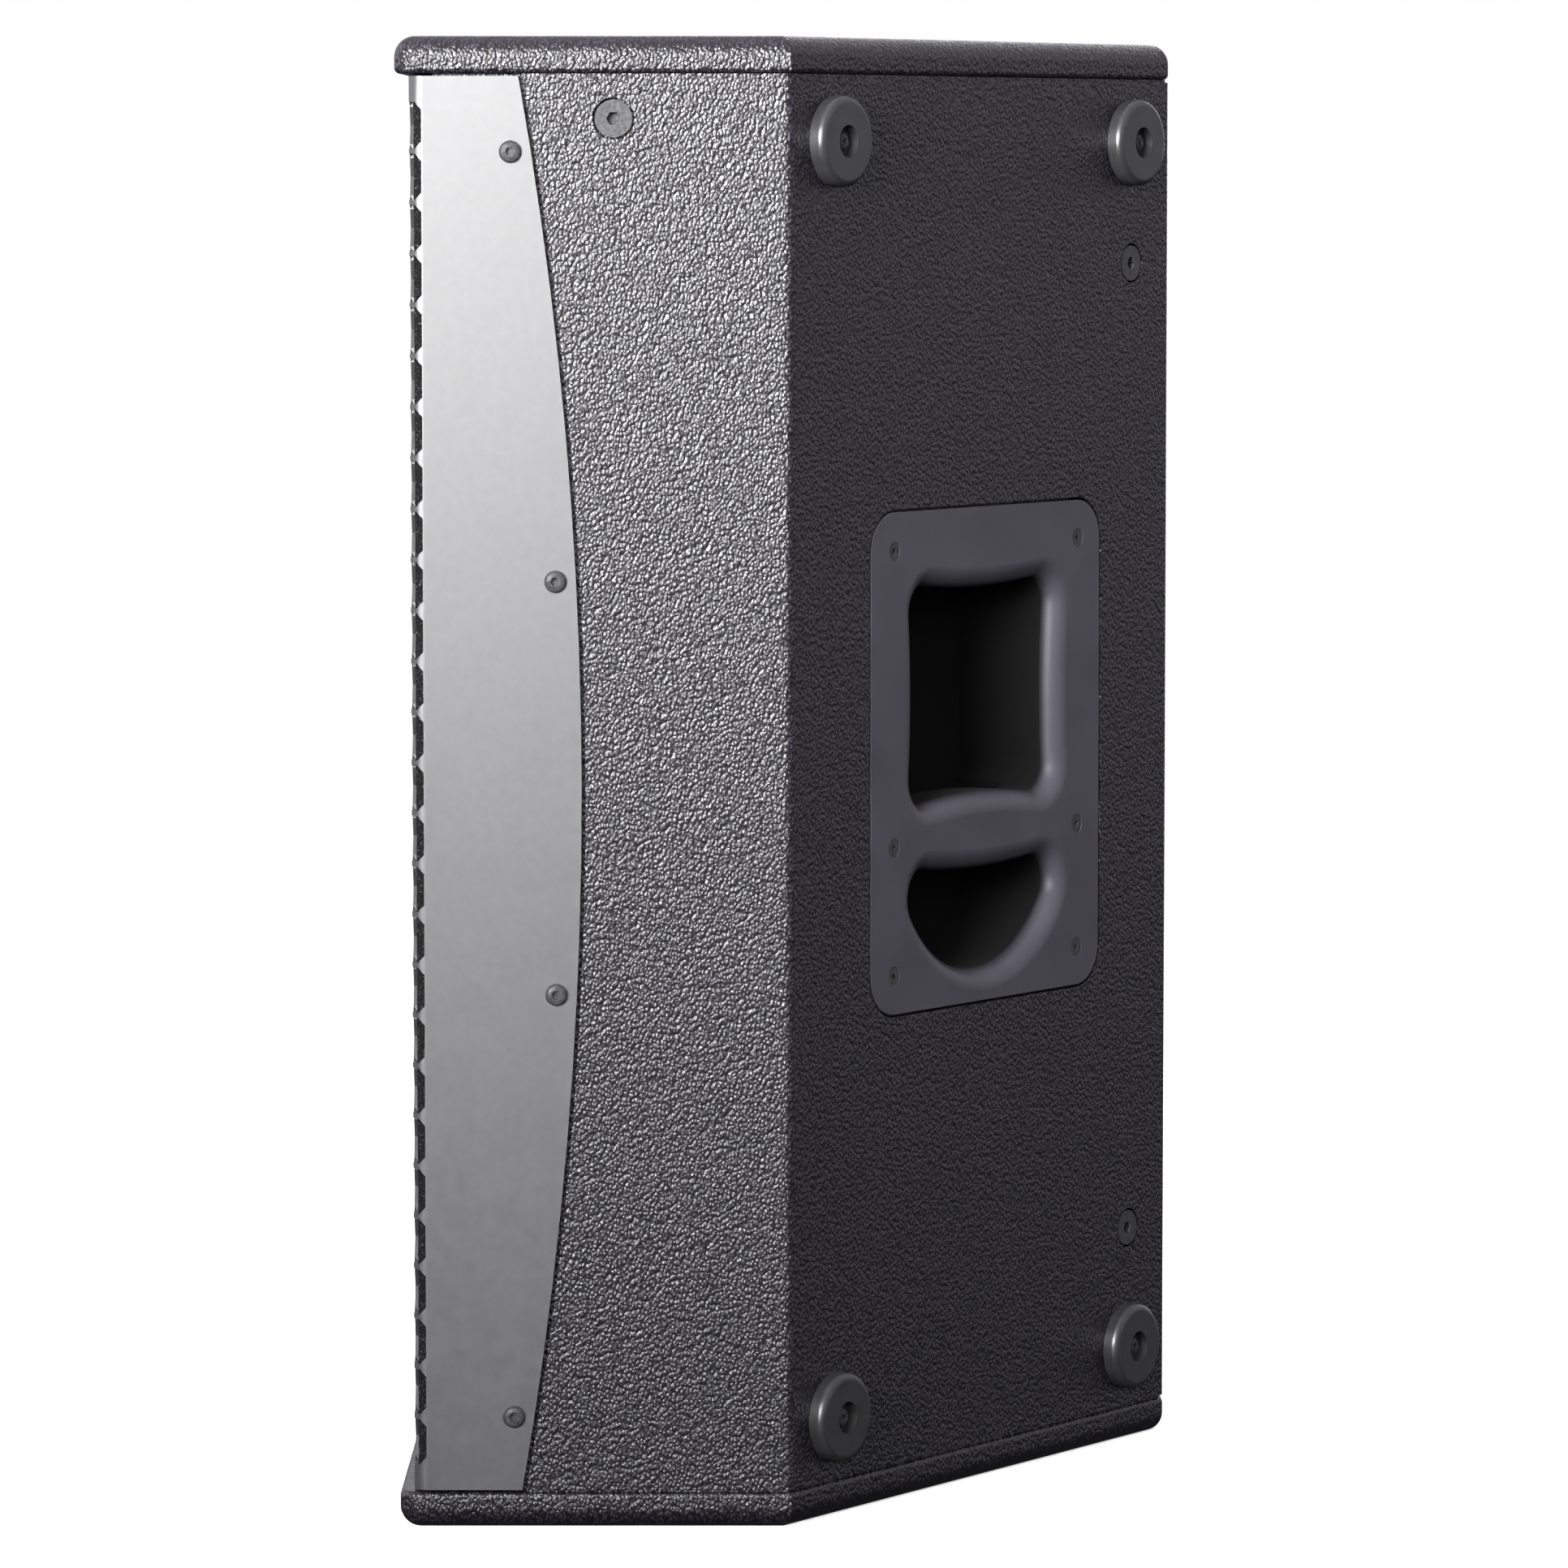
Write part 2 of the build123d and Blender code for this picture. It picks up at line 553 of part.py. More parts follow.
def handle_seal():
    flat = handle_plan(-1) - handle_footprint(HANDLE_WALL + 1)
    flat -= [Pos(u, z) * Circle(2.2) for u, z in handle_screw_places()]
    return slab(flat, -HANDLE_PLATE - HANDLE_SEAL, -HANDLE_PLATE)


# ---- woofer ----

def woofer_basket():
    shell = turned([(30, -66), (56, -66), (56, -60.2), (62, -60.2), (133, -20), (137, -6), (139, -2),
                    (WOOFER_FLANGE, -2), (WOOFER_FLANGE, -6), (140.5, -6), (136.5, -21), (65, -63),
                    (65, -70), (30, -70)])
    for i in range(6):
        sector = make_face(Polyline((76, -22), (124, -40), (124, 40), (76, 22), close=True))
        shell -= Rot(0, 0, 60 * i) * slab(sector, -62, -7)
    return shell - [Pos(x, y, 0) * disc(2.7, -7, 0) for x, y in circle_places(WOOFER_SCREW_RING, 8, 22.5)]


def half_roll(centre, radius, thick, base):
    """Half-round roll of a surround with a flat landing on each side."""
    outer, inner = radius + thick / 2, radius - thick / 2
    land = 5.0
    edges = [Line((centre - outer - land, base), (centre - outer, base)),
             ThreePointArc((centre - outer, base), (centre, base + outer), (centre + outer, base)),
             Line((centre + outer, base), (centre + outer + land, base)),
             Line((centre + outer + land, base), (centre + outer + land, base - thick)),
             Line((centre + outer + land, base - thick), (centre + inner, base - thick)),
             ThreePointArc((centre + inner, base - thick), (centre, base - thick + inner),
                           (centre - inner, base - thick)),
             Line((centre - inner, base - thick), (centre - outer - land, base - thick)),
             Line((centre - outer - land, base - thick), (centre - outer - land, base))]
    return revolve(Plane.XZ * make_face(edges), axis=Axis.Z)


def woofer_cone():
    return turned([(126.5, -2.3), (121, -2.3), (COIL_RADIUS + 0.1, -49), (COIL_RADIUS + 0.1, -51),
                   (27.5, -51.5), (122, -3.9), (126.5, -3.9)])


def dome(radius, base, rise, thick):
    edges = [ThreePointArc((-radius, base), (0, base + rise), (radius, base)),
             Line((radius, base), (radius - thick, base)),
             ThreePointArc((radius - thick, base), (0, base + rise - thick), (thick - radius, base)),
             Line((thick - radius, base), (-radius, base))]
    half = make_face(edges) & Pos(radius, 0) * Rectangle(2 * radius, 400)
    return revolve(Plane.XZ * half, axis=Axis.Z)


def spider():
    """Corrugated suspension disc between the coil former and the basket."""
    inner, outer, level, swing, thick = COIL_RADIUS + 0.15, 61.0, -59.0, 1.6, 0.7
    steps = 48
    top = []
    for i in range(steps + 1):
        r = inner + (outer - inner) * i / steps
        flat = max(0.0, min(1.0, i / 6, (steps - i - 9) / 8))
        top.append((r, level + swing * flat * math.sin(2 * math.pi * (r - inner) / 8.0)))
    bottom = [(r, z - thick) for r, z in reversed(top)]
    return turned(top + bottom)


def woofer_parts():
    back_plate = disc(60, -106, -98) + disc(24.3, -98.5, -70) - disc(9, -107, -60)
    return {
        "woofer_basket": woofer_basket(),
        "woofer_surround": half_roll(133, 6, 0.8, -1.2),
        "woofer_gasket": ring(145.5, 139.6, -1.2, 1.2),
        "woofer_cone": woofer_cone(),
        "dust_cap": dome(45, -38.9, 15, 0.8),
        "voice_coil_former": ring(COIL_RADIUS, COIL_RADIUS - 0.3, -90, -47),
        "voice_coil_winding": ring(COIL_RADIUS + 1.0, COIL_RADIUS, -88, -73),
        "woofer_spider": spider(),
        "woofer_top_plate": ring(62, 27.1, -78, -70),
        "woofer_magnet": ring(78, 34, -98, -78),
        "woofer_back_plate": back_plate,
        "woofer_screws": group(Pos(x, y, -2) * button_screw(4.2, 2.4, 2.5, 14, 3.0)
                               for x, y in circle_places(WOOFER_SCREW_RING, 8, 22.5)),
    }


# ---- horn and compression driver ----

def horn_sections(grow):
    """Rounded rectangles from the mouth to the throat: width, height, depth."""
    steps = 5
    sections = []
    for i in range(steps + 1):
        t = i / steps
        flare = (1 - t) ** 1.8
        wide = 2 * THROAT + (HORN_WIDTH - 2 * THROAT) * flare + 2 * grow
        tall = 2 * THROAT + (HORN_HEIGHT - 2 * THROAT) * flare + 2 * grow
        corner = min(THROAT + grow - 0.1, 0.49 * tall)
        sections.append(Pos(0, 0, -HORN_LENGTH * t) * RectangleRounded(wide, tall, corner))
    return sections


def horn_screw_places():
    x, y = HORN_WIDTH / 2 + 7, HORN_HEIGHT / 2 + 7
    return [(-x, -y), (-x, y), (x, -y), (x, y), (0, -y), (0, y)]


def hf_horn():
    rim = RectangleRounded(HORN_WIDTH + 2 * HORN_BORDER, HORN_HEIGHT + 2 * HORN_BORDER, 6)
    body = loft(horn_sections(3.0), ruled=True) + slab(rim, -4, 0) + disc(46, -HORN_LENGTH, -HORN_LENGTH + 8)
    body -= loft(horn_sections(0.0), ruled=True)
    body -= [Pos(x, y, 0) * wood_seat() for x, y in horn_screw_places()]
    return body - [Pos(x, y, -HORN_LENGTH) * disc(3.0 + CLEAR, -1, 9) for x, y in circle_places(38, 4, 45)]


def phase_plug():
    plug = disc(21.4, -3, 2)
    for inner, outer in ((4.5, 6.5), (9.5, 11.0), (14.5, 16.0)):
        plug -= ring(outer, inner, -4, 3)
    for i in range(3):
        plug += Rot(0, 0, 60 * i) * Pos(0, 0, -2.2) * Box(34, 2.4, 1.6)
    return plug


def driver_parts():
    """Compression driver behind the throat; heights count from the throat."""
    bolts = [Pos(x, y, 8) * button_screw(5.0, 3.0, 3.0, 15, 4.0) for x, y in circle_places(38, 4, 45)]
    bolt_bores = [Pos(x, y, 0) * disc(3.0 + CLEAR, -9, 1) for x, y in circle_places(38, 4, 45)]
    front_plate = ring(50, THROAT, -8, 0) - bolt_bores
    cover = turned([(47, -35), (50, -35), (50, -56), (44, -60), (0, -60), (0, -57), (43, -57), (47, -54)])
    diaphragm = Pos(0, 0, -36.5) * mirror(dome(23.3, 0, 9, 0.4), about=Plane.XY)
    diaphragm += ring(23.3, 22.7, -37, -29.5)
    shapes = {
        "driver_front_plate": front_plate,
        "driver_magnet": ring(58, 27, -28, -8),
        "driver_pole": ring(21.8, THROAT, -28, -8),
        "driver_phase_plug": Pos(0, 0, -30) * phase_plug(),
        "driver_top_plate": ring(52, 24.4, -35, -28),
        "driver_clamp_ring": ring(40, 27.5, -37.5, -35),
        "driver_suspension": ring(27.4, 23.5, -36.6, -36.3),
        "driver_diaphragm": diaphragm,
        "driver_rear_cover": cover,
        "driver_bolts": group(bolts),
    }
    return {name: Pos(0, 0, -HORN_LENGTH) * shape for name, shape in shapes.items()}


def port_tube():
    return ring(PORT_BORE + PORT_WALL, PORT_BORE, -PORT_LENGTH, 0)


# ---- crossover, connector plate, pole cup, lining ----

BOARD_X = -HALF + PANEL + 10
BOARD = Plane(origin=(BOARD_X, 72, 470), x_dir=(0, 1, 0), z_dir=(1, 0, 0))
BOARD_SIZE = (140.0, 130.0)
BOARD_SHEET = 1.6


def board_corners():
    x, y = BOARD_SIZE[0] / 2 - 7, BOARD_SIZE[1] / 2 - 7
    return [(-x, -y), (-x, y), (x, -y), (x, y)]


def coil(radius, hole, tall):
    spool = ring(radius + 2, hole, 0, 2) + ring(radius + 2, hole, tall - 2, tall)
    spool += ring(hole + 3, hole, 0, tall)
    return spool + ring(radius, hole + 3, 2, tall - 2)


def capacitor(radius, length):
    return Pos(0, 0, radius) * Rot(0, 90, 0) * disc(radius, -length / 2, length / 2)


def crossover_parts():
    top = BOARD_SHEET
    plate = slab(RectangleRounded(BOARD_SIZE[0], BOARD_SIZE[1], 4), 0, top)
    plate -= [Pos(x, y, 0) * disc(1.6 + CLEAR, -1, 3) for x, y in board_corners()]
    shapes = {
        "crossover_board": plate,
        "board_standoffs": group(Pos(x, y, 0) * ring(4, 1.7, -10, 0) for x, y in board_corners()),
        "woofer_inductor": Pos(-32, 22, top) * coil(25, 10, 28),
        "horn_inductor": Pos(38, 34, top) * coil(15, 6, 18),
        "crossover_capacitors": group([Pos(-26, -26, top) * capacitor(9, 44),
                                       Pos(-26, -48, top) * capacitor(8, 40)]),
        "crossover_resistors": group([Pos(36, -14 - 15 * i, top + 5) * Box(40, 9, 10) for i in range(3)]),
    }
    return {name: BOARD * shape for name, shape in shapes.items()}


def plate_screw_places():
    x, y = PLATE_WIDTH / 2 - 4.5, PLATE_HEIGHT / 2 - 4.5
    return [(-x, -y), (-x, y), (x, -y), (x, y)]


def connector_plate():
    plate = slab(RectangleRounded(PLATE_WIDTH, PLATE_HEIGHT, 5.5), -PLATE_SHEET, 0)
    for rise in (-SOCKET_RISE, SOCKET_RISE):
        plate -= Pos(0, rise, 0) * disc(SOCKET_BORE + 3.1, -PLATE_SHEET - 1, 1)
    return plate - [Pos(x, y, 0) * wood_seat() for x, y in plate_screw_places()]


def speaker_connector():
    """Round four-pole socket in a square flange, with four blade terminals behind."""
    flange = fillet(slab(RectangleRounded(38, 38, 4), 0, 2.6).edges().group_by(Axis.Z)[-1], 0.8)
    body = flange + disc(SOCKET_BORE + 3, -28, 0)
    body -= disc(SOCKET_BORE, -24, 4)
    body += disc(7.0, -26, -1.5)
    return body + [Pos(x, 0, -32.5) * Box(0.8, 5, 11) for x in (-9, -3, 3, 9)]


def pole_screw_places():
    return circle_places(POLE_SCREW_RING, 4, 45)


def pole_cup():
    wide = POLE_BORE + POLE_WALL
    end = -POLE_DEPTH - POLE_WALL
    wall = turned([(POLE_BORE, 0), (POLE_FLANGE, 0), (POLE_FLANGE, -POLE_RIM), (wide, -POLE_RIM), (wide, end),
                   (0, end), (0, -POLE_DEPTH), (POLE_BORE, -POLE_DEPTH)])
    return wall - [Pos(x, y, 0) * wood_seat() for x, y in pole_screw_places()]


def woofer_terminals():
    """Terminal block on the outside of a basket rib."""
    block = Rot(0, 0, 150) * Pos(104, 0, -49.5) * Box(14, 18, 9)
    return block - woofer_basket()


def cable(points, radius=2.5):
    """Round cable along straight runs joined by the largest arcs that fit."""
    spots = [Vector(*point) for point in points]
    bends = []
    for before, here, after in zip(spots, spots[1:], spots[2:]):
        turn = math.radians((here - before).get_angle(after - here))
        run = min((here - before).length, (after - here).length)
        bends.append(0.45 * run / math.tan(turn / 2))
    path = FilletPolyline(*spots, radius=bends)
    return sweep(Plane(origin=path @ 0, z_dir=path % 0) * Circle(radius), path)


def internal_cables():
    """Leads from the sockets to the crossover, and from it to the two drivers."""
    board_face = BOARD_X + BOARD_SHEET + 0.1
    routes = [
        [(-117, 129.3, 157), (-117, 116, 157), (-124, 102, 190), (-134, 96, 238), (-142, 92, 286),
         (-145, 88, 334), (-144, 84, 378), (-152, 80, 404), (-161, 78, 413), (board_face, 78, 413)],
        [(-91, -79.3, 255), (-93, -66, 256), (-103, -42, 268), (-116, -18, 290), (-130, 6, 322),
         (-141, 28, 358), (-146, 50, 386), (-152, 66, 402), (-160, 71, 408.5), (board_face, 71, 408.5)],
        [(board_face, 76, 528), (-160, 76, 528), (-145, 68, 530), (-124, 50, 522), (-100, 30, 510),
         (-80, 12, 498), (-64, 3.5, 492), (-52.2, 3.5, 492)],
    ]
    return group(cable(route) for route in routes)


def lining():
    """Absorbent pad on the rear wall, above the connector plate."""
    return Pos(PLATE_X - 4, REAR_Y - PANEL - 10, 285) * Box(100, 19.5, 180)


def wood_screws():
    """The same countersunk screw holds the handle, the horn, the connector plate and the pole cup."""
    screw = flush_screw(WOOD_HEAD, WOOD_SHANK, WOOD_LENGTH, 2.5)
    places = [(WEDGE, handle_screw_places()), (HORN, horn_screw_places()), (BACK, plate_screw_places()),
              (POLE, pole_screw_places())]
    return group(frame * Pos(x, y, 0) * screw for frame, spots in places for x, y in spots)


# ---- everything, by node name ----

def all_nodes():
    nodes = {"top_panel": top_panel(), "bottom_panel": bottom_panel()}
    nodes.update(upright_panels())
    nodes["front_baffle"] = baffle()
    nodes["window_brace"] = brace()
    nodes["front_grille"] = front_grille()
    nodes["grille_foam"] = grille_foam()
    nodes["grille_screws"] = grille_screws()
    nodes["rigging_screws"] = rigging_screws()
    nodes["rigging_inserts"] = rigging_inserts()
    nodes["bracket_inserts"] = bracket_inserts()
    for number, (u, z) in enumerate(FOOT_PLACES, 1):
        nodes[f"rubber_foot_{number}"] = WEDGE * Pos(u, z, 0) * rubber_foot()
    nodes["foot_screws"] = in_frame(WEDGE, [Pos(u, z, 0) * foot_screw() for u, z in FOOT_PLACES])
    nodes["handle_shell"] = WEDGE * handle_shell()
    nodes["handle_seal"] = WEDGE * handle_seal()
    nodes["wood_screws"] = wood_screws()
    nodes.update({name: WOOFER * shape for name, shape in woofer_parts().items()})
    nodes["hf_horn"] = HORN * hf_horn()
    nodes.update({name: HORN * shape for name, shape in driver_parts().items()})
    nodes["port_tube_left"] = HORN * Pos(-PORT_X, 0, 0) * port_tube()
    nodes["port_tube_right"] = HORN * Pos(PORT_X, 0, 0) * port_tube()
    nodes.update(crossover_parts())
    nodes["connector_plate"] = BACK * connector_plate()
    nodes["speaker_connector_lower"] = BACK * Pos(0, -SOCKET_RISE, 0) * speaker_connector()
    nodes["speaker_connector_upper"] = BACK * Pos(0, SOCKET_RISE, 0) * speaker_connector()
    nodes["pole_cup"] = POLE * pole_cup()
    nodes["rear_lining"] = lining()
    nodes["woofer_terminals"] = WOOFER * woofer_terminals()
    nodes["internal_cables"] = internal_cables()
    return nodes


os.makedirs("parts", exist_ok=True)
for node, shape in all_nodes().items():
    export_step(shape, f"parts/{node}.step")
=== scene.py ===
import json
import math
import random

import bmesh
import bpy
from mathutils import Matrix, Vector


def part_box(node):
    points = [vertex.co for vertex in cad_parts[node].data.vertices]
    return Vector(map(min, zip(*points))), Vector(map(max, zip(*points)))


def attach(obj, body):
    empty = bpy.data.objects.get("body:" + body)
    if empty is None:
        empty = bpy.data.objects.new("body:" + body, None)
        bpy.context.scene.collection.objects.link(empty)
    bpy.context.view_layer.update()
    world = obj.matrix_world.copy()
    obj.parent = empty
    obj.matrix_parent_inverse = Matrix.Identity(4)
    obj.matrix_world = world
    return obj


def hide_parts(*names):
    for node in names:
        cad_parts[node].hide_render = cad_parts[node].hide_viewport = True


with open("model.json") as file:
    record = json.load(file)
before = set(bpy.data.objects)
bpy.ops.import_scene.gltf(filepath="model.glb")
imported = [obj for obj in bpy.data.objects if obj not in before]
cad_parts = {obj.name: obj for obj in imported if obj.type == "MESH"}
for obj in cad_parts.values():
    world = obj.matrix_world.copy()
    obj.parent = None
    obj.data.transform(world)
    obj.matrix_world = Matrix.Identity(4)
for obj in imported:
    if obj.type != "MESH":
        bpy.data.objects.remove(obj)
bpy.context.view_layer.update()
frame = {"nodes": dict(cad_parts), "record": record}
NODES = frame["nodes"]
BODY = "cabinet"
WEDGE_ANGLE = math.radians(55)                  # between the straight side and the slanted one
WEDGE_NORMAL = Vector((math.cos(WEDGE_ANGLE), math.sin(WEDGE_ANGLE), 0.0))
WEDGE_POINT = Vector((0.195, -0.0018, 0.0))     # where the two sides meet
RECESS_SHADE_START = 0.004                            # painted shade: the handle's recess is painted black between these depths below the slanted side
RECESS_SHADE_FULL = 0.009                            # these depths below the slanted side
FOAM_ROLL = 0.0045                              # rounding of the foam's upright edges
LINING_ROLL = 0.02
LINING_RISE = 0.011
FLOOR_HALF = 12.0
FLOOR_FADE = (0.7, 2.6)                         # the floor thins out between these distances
CAMERA_DISTANCE = 3.13                          # from the straight side
CAMERA_HEIGHT = 0.5854
CAMERA_TILT = 4.81                              # degrees below level


# ---- node-tree helpers ----

class Shader:
    """A Principled material with a few shorthands for building its node tree."""

    def __init__(self, name, colour, roughness, metallic=0.0, specular=0.5):
        self.material = bpy.data.materials.new(name)
        self.material.use_nodes = True
        self.tree = self.material.node_tree
        self.bsdf = self.tree.nodes["Principled BSDF"]
        self.set("Base Color", (*colour, 1.0))
        self.set("Roughness", roughness)
        self.set("Metallic", metallic)
        self.set("Specular IOR Level", specular)
        self.place = self.tree.nodes.new("ShaderNodeTexCoord").outputs["Object"]

    def set(self, socket, value):
        self.bsdf.inputs[socket].default_value = value

    def link(self, source, target):
        self.tree.links.new(source, target)

    def mapped(self, scale, turn=(0.0, 0.0, 0.0)):
        node = self.tree.nodes.new("ShaderNodeMapping")
        node.inputs["Scale"].default_value = scale
        node.inputs["Rotation"].default_value = turn
        self.link(self.place, node.inputs["Vector"])
        return node.outputs["Vector"]

    def noise(self, scale, detail=3.0, rough=0.5, vector=None, distortion=0.0):
        node = self.tree.nodes.new("ShaderNodeTexNoise")
        node.inputs["Scale"].default_value = scale
        node.inputs["Detail"].default_value = detail
        node.inputs["Roughness"].default_value = rough
        node.inputs["Distortion"].default_value = distortion
        self.link(vector or self.place, node.inputs["Vector"])
        return node.outputs["Fac"]

    def cells(self, scale, feature="SMOOTH_F1", smooth=0.6, vector=None, randomness=1.0):
        node = self.tree.nodes.new("ShaderNodeTexVoronoi")
        node.feature = feature
        node.inputs["Scale"].default_value = scale
        node.inputs["Randomness"].default_value = randomness
        if feature == "SMOOTH_F1":
            node.inputs["Smoothness"].default_value = smooth
        self.link(vector or self.place, node.inputs["Vector"])
        return node.outputs["Distance"]

    def warped(self, scale, amount, vector=None):
        """Coordinates pushed about by noise, so that cells aren't regular."""
        node = self.tree.nodes.new("ShaderNodeTexNoise")
        node.inputs["Scale"].default_value = scale
        self.link(self.place, node.inputs["Vector"])
        shifted = self.tree.nodes.new("ShaderNodeVectorMath")
        shifted.operation = "MULTIPLY_ADD"
        shifted.inputs[1].default_value = (amount, amount, amount)
        self.link(node.outputs["Color"], shifted.inputs[0])
        self.link(vector or self.place, shifted.inputs[2])
        return shifted.outputs["Vector"]

    def ramp(self, source, *stops):
        node = self.tree.nodes.new("ShaderNodeValToRGB")
        marks = node.color_ramp.elements
        while len(marks) < len(stops):
            marks.new(0.5)
        for mark, (place, colour) in zip(marks, stops):
            mark.position = place
            mark.color = (*colour, 1.0)
        self.link(source, node.inputs["Fac"])
        return node.outputs["Color"]

    def spread(self, source, low, high, from_low=0.3, from_high=0.7):
        node = self.tree.nodes.new("ShaderNodeMapRange")
        node.inputs["From Min"].default_value = from_low
        node.inputs["From Max"].default_value = from_high
        node.inputs["To Min"].default_value = low
        node.inputs["To Max"].default_value = high
        self.link(source, node.inputs["Value"])
        return node.outputs["Result"]

    def combine(self, operation, first, second):
        node = self.tree.nodes.new("ShaderNodeMath")
        node.operation = operation
        for socket, value in zip(node.inputs, (first, second)):
            if isinstance(value, (int, float)):
                socket.default_value = value
            else:
                self.link(value, socket)
        return node.outputs["Value"]

    def blend(self, factor, first, second):
        """First colour where factor is 0, the plain second colour where it is 1."""
        node = self.tree.nodes.new("ShaderNodeMix")
        node.data_type = "RGBA"
        sockets = {socket.identifier: socket for socket in node.inputs}
        self.link(factor, sockets["Factor_Float"])
        self.link(first, sockets["A_Color"])
        sockets["B_Color"].default_value = (*second, 1.0)
        return next(socket for socket in node.outputs if socket.identifier == "Result_Color")

    def depth_below(self, point, normal):
        """How far a place lies behind a plane."""
        node = self.tree.nodes.new("ShaderNodeVectorMath")
        node.operation = "DOT_PRODUCT"
        node.inputs[1].default_value = normal
        self.link(self.place, node.inputs[0])
        return self.combine("SUBTRACT", point.dot(normal), node.outputs["Value"])

    def bump(self, height, distance, strength=1.0, under=None):
        node = self.tree.nodes.new("ShaderNodeBump")
        node.inputs["Distance"].default_value = distance
        node.inputs["Strength"].default_value = strength
        self.link(height, node.inputs["Height"])
        if under is not None:
            self.link(under, node.inputs["Normal"])
        self.link(node.outputs["Normal"], self.bsdf.inputs["Normal"])
        return node.outputs["Normal"]

    def colour(self, source):
        self.link(source, self.bsdf.inputs["Base Color"])

    def roughness(self, source):
        self.link(source, self.bsdf.inputs["Roughness"])


# ---- materials ----

def structured_paint():
    """Sprayed pebble paint on plywood: slanting drops about 2 mm long with a fine mist over them. Its
    colour carries painted shade in the crevices between the drops and painted light on their tops.
    """
    m = Shader("structured_paint", (0.009, 0.008, 0.011), 0.36, specular=0.37)
    slanted = m.warped(380.0, 0.0016, m.mapped((1.0, 1.25, 0.9), (0.7, 0.3, 0.2)))
    drops = m.combine("SUBTRACT", 0.9, m.cells(620.0, smooth=0.45, vector=slanted))
    mist = m.noise(1700.0, 2.0)
    coarse = m.bump(drops, 0.00052, 1.0)
    m.bump(mist, 0.00005, 0.6, under=coarse)
    # painted shade and light: darker colour in the crevices between the drops, lighter on their tops
    m.colour(m.ramp(drops, (0.38, (0.0032, 0.0027, 0.004)), (0.62, (0.0165, 0.014, 0.0205))))
    m.roughness(m.spread(m.noise(260.0, 3.0), 0.31, 0.42))
    return m.material


def powder_coat():
    """Smooth powder coat with a fine grain."""
    m = Shader("powder_coat", (0.022, 0.022, 0.024), 0.42, specular=0.7)
    m.bump(m.noise(1500.0, 2.0), 0.00003, 0.5)
    m.colour(m.ramp(m.noise(240.0, 4.0), (0.3, (0.019, 0.019, 0.0205)), (0.7, (0.026, 0.026, 0.0275))))
    m.roughness(m.spread(m.noise(120.0, 4.0), 0.40, 0.45))
    return m.material


def open_foam():
    """Open-cell foam: dark pores between glinting struts, with painted shade in the pores and painted
    glints on the struts in its colour.
    """
    m = Shader("open_foam", (0.012, 0.012, 0.013), 0.55, specular=0.15)
    pores = m.cells(1100.0, smooth=0.25)
    struts = m.noise(900.0, 3.0, 0.6)
    m.bump(m.combine("ADD", pores, struts), 0.0014, 1.0)
    # painted shade in the pores and painted glints on the struts, set in the base colour
    painted_pore_shade, wall, painted_strut_glint = (0.001, 0.001, 0.001), (0.004, 0.004, 0.004), (0.12, 0.12, 0.124)
    m.colour(m.ramp(struts, (0.45, painted_pore_shade), (0.62, wall), (0.74, painted_strut_glint)))
    m.roughness(m.spread(struts, 0.9, 0.35, 0.5, 0.65))
    return m.material


def satin_plastic():
    """Moulded plastic with a fine spark-eroded grain."""
    m = Shader("satin_plastic", (0.03, 0.03, 0.033), 0.4, specular=0.5)
    grain = m.bump(m.noise(3800.0, 2.0), 0.00005, 0.5)
    m.bump(m.noise(90.0, 2.0), 0.0003, 0.12, under=grain)
    m.colour(m.ramp(m.noise(35.0, 3.0), (0.3, (0.027, 0.027, 0.031)), (0.7, (0.036, 0.036, 0.040))))
    m.roughness(m.spread(m.noise(240.0, 4.0), 0.34, 0.46))
    return m.material


def handle_plastic_painted_shade():
    """Grained plastic whose recess, more than a few millimetres below the face, is dull, with painted
    shade that turns its colour near black.
    """
    m = Shader("handle_plastic_painted_shade", (0.03, 0.029, 0.034), 0.36, specular=0.2)
    depth = m.depth_below(WEDGE_POINT, WEDGE_NORMAL)
    m.bump(m.noise(2600.0, 2.0), 0.00005, 0.5)
    grain = m.ramp(m.noise(35.0, 3.0), (0.3, (0.033, 0.0315, 0.039)), (0.7, (0.043, 0.0415, 0.05)))
    # painted shade: deeper in the recess the colour falls to near black and the roughness rises
    painted_recess_shade = m.spread(depth, 0.0, 1.0, RECESS_SHADE_START, RECESS_SHADE_FULL)
    m.colour(m.blend(painted_recess_shade, grain, (0.0003, 0.0003, 0.0004)))
    m.roughness(m.spread(painted_recess_shade, 0.34, 1.0, 0.0, 1.0))
    return m.material


def gloss_plastic(name, colour):
    """Smooth moulded plastic."""
    m = Shader(name, colour, 0.22, specular=0.5)
    m.bump(m.noise(500.0, 2.0), 0.00006, 0.4)
    dark = tuple(0.8 * part for part in colour)
    m.colour(m.ramp(m.noise(60.0, 2.0), (0.3, dark), (0.7, colour)))
    m.roughness(m.spread(m.noise(330.0, 3.0), 0.18, 0.3))
    return m.material


def soft_rubber(name, shade):
    """Moulded rubber with a soft gloss, a little bluish."""
    m = Shader(name, (shade, shade, shade * 1.1), 0.32, specular=0.5)
    m.bump(m.noise(2400.0, 3.0), 0.00007, 0.6)
    dark, light = (shade * 0.8,) * 3, (shade * 1.2, shade * 1.2, shade * 1.3)
    m.colour(m.ramp(m.noise(160.0, 4.0), (0.3, dark), (0.7, light)))
    m.roughness(m.spread(m.noise(220.0, 4.0), 0.28, 0.4))
    return m.material


def dark_steel():
    """Blackened screw steel."""
    m = Shader("dark_steel", (0.05, 0.05, 0.052), 0.4, metallic=0.1, specular=0.1)
    m.bump(m.noise(1500.0, 3.0), 0.00003, 0.5)
    m.colour(m.ramp(m.noise(700.0, 4.0), (0.3, (0.02, 0.02, 0.021)), (0.7, (0.045, 0.045, 0.046))))
    m.roughness(m.spread(m.noise(500.0, 3.0), 0.34, 0.46))
    return m.material


